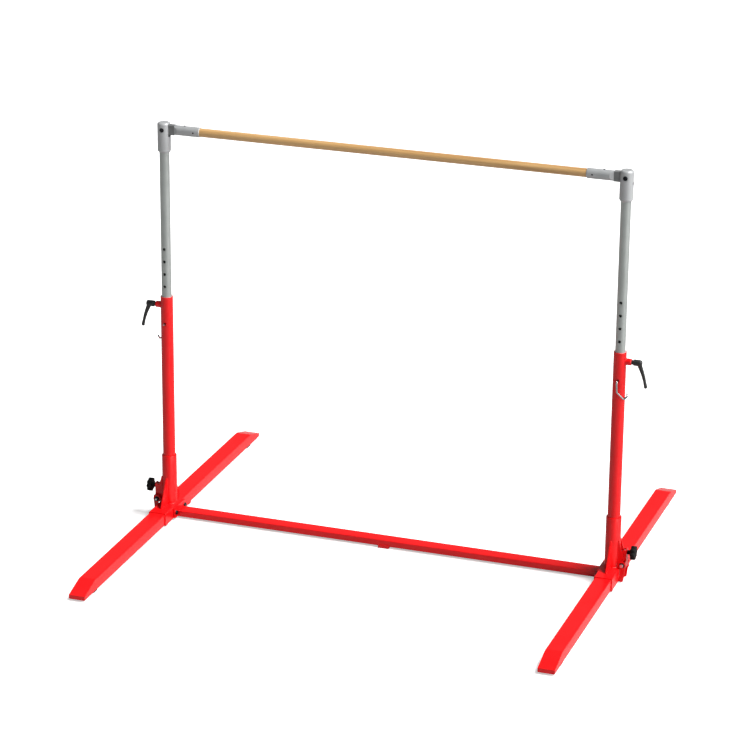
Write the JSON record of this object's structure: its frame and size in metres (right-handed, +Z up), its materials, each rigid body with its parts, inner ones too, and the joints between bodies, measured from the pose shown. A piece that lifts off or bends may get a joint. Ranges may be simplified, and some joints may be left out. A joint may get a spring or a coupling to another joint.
{
  "type": "kip bar",
  "caption": "Low gymnastics bar: a round wooden rail on two telescoping posts with locking pins and clamping levers, each post on a long foot joined by a flat floor tube.",
  "frame": {"origin": "on the floor, midway between the two posts", "axes": "+X along the bar from the left post to the right post, +Y along the feet towards the rear, +Z up"},
  "size_m": [2.0142, 1.776, 1.602],
  "materials": {
    "red_paint": "satin",
    "steel": "satin",
    "bright_zinc": "satin",
    "dark_steel": "satin",
    "chrome": "polished",
    "head_grey": "satin",
    "knuckle_grey": "satin",
    "sleeve_grey": "satin",
    "wood": "satin varnish",
    "black_plastic": "satin",
    "white_nylon": "satin",
    "rubber": "matte"
  },
  "bodies": {
    "base": {"left_foot_beam": "red_paint", "right_foot_beam": "red_paint", "left_foot_noses": "red_paint", "right_foot_noses": "red_paint", "foot_pads": "rubber", "left_saddle": "red_paint", "right_saddle": "red_paint", "saddle_straps": "red_paint", "left_socket": "red_paint", "right_socket": "red_paint", "left_gussets": "red_paint", "right_gussets": "red_paint", "left_clamp_ears": "red_paint", "right_clamp_ears": "red_paint", "pivot_bolts": "bright_zinc", "pivot_nuts": "dark_steel", "pivot_bushes": "steel", "pivot_washers": "dark_steel", "left_upright": "red_paint", "right_upright": "red_paint", "left_guide_bush": "white_nylon", "right_guide_bush": "white_nylon", "left_clamp_boss": "red_paint", "right_clamp_boss": "red_paint", "crossbar": "red_paint", "left_crossbar_flange": "red_paint", "right_crossbar_flange": "red_paint", "flange_bolts": "dark_steel", "mid_foot": "red_paint"},
    "rail_frame": {"left_inner_tube": "steel", "right_inner_tube": "steel", "left_head": "head_grey", "right_head": "head_grey", "left_head_bolt": "dark_steel", "right_head_bolt": "dark_steel", "left_head_nut": "dark_steel", "right_head_nut": "dark_steel", "left_head_screw": "dark_steel", "right_head_screw": "dark_steel", "left_knuckle": "knuckle_grey", "right_knuckle": "knuckle_grey", "left_end_sleeve": "sleeve_grey", "right_end_sleeve": "sleeve_grey", "wooden_bar": "wood", "sleeve_screws": "dark_steel"},
    "right_pin": {"right_locking_pin": "chrome"},
    "right_lever": {"right_clamp_lever": "black_plastic", "right_clamp_screw": "steel"},
    "right_clamp": {"right_clamp_arm": "red_paint", "right_weld_nut": "steel"},
    "right_stud": {"right_clamp_stud": "dark_steel"},
    "right_knob": {"right_clamp_knob": "black_plastic"},
    "left_pin": {"left_locking_pin": "chrome"},
    "left_lever": {"left_clamp_lever": "black_plastic", "left_clamp_screw": "steel"},
    "left_clamp": {"left_clamp_arm": "red_paint", "left_weld_nut": "steel"},
    "left_stud": {"left_clamp_stud": "dark_steel"},
    "left_knob": {"left_clamp_knob": "black_plastic"}
  },
  "joints": [
    {"name": "rail_lift", "type": "slide", "parent": "base", "child": "rail_frame", "axis": [0, 0, 1], "range_m": [-0.3, 0]},
    {"name": "right_pin_pull", "type": "slide", "parent": "base", "child": "right_pin", "axis": [0, -1, 0], "range_m": [0, 0.075]},
    {"name": "right_lever_turn", "type": "hinge", "parent": "base", "child": "right_lever", "pos_m": [0.9, 0, 0.873], "axis": [1, 0, 0], "continuous": true},
    {"name": "right_clamp_swing", "type": "hinge", "parent": "base", "child": "right_clamp", "pos_m": [0.944, 0, 0.071], "axis": [0, -1, 0], "range_deg": [0, 10]},
    {"name": "right_stud_travel", "type": "slide", "parent": "right_clamp", "child": "right_stud", "axis": [1, 0, 0], "range_m": [0, 0.0083]},
    {"name": "right_knob_turn", "type": "hinge", "parent": "right_stud", "child": "right_knob", "pos_m": [0.97, 0, 0.117], "axis": [1, 0, 0], "range_deg": [0, 1960]},
    {"name": "left_pin_pull", "type": "slide", "parent": "base", "child": "left_pin", "axis": [0, 1, 0], "range_m": [0, 0.075]},
    {"name": "left_lever_turn", "type": "hinge", "parent": "base", "child": "left_lever", "pos_m": [-0.9, 0, 0.873], "axis": [-1, 0, 0], "continuous": true},
    {"name": "left_clamp_swing", "type": "hinge", "parent": "base", "child": "left_clamp", "pos_m": [-0.944, 0, 0.071], "axis": [0, 1, 0], "range_deg": [0, 10]},
    {"name": "left_stud_travel", "type": "slide", "parent": "left_clamp", "child": "left_stud", "axis": [-1, 0, 0], "range_m": [0, 0.0083]},
    {"name": "left_knob_turn", "type": "hinge", "parent": "left_stud", "child": "left_knob", "pos_m": [-0.97, 0, 0.117], "axis": [-1, 0, 0], "range_deg": [0, 1960]}
  ],
  "couplings": [
    {"joint": "right_stud_travel", "follows": "right_clamp_swing", "m_per_rad": 0.04667},
    {"joint": "right_knob_turn", "follows": "right_clamp_swing", "ratio": 195.5},
    {"joint": "left_stud_travel", "follows": "left_clamp_swing", "m_per_rad": 0.04667},
    {"joint": "left_knob_turn", "follows": "left_clamp_swing", "ratio": 195.5}
  ]
}
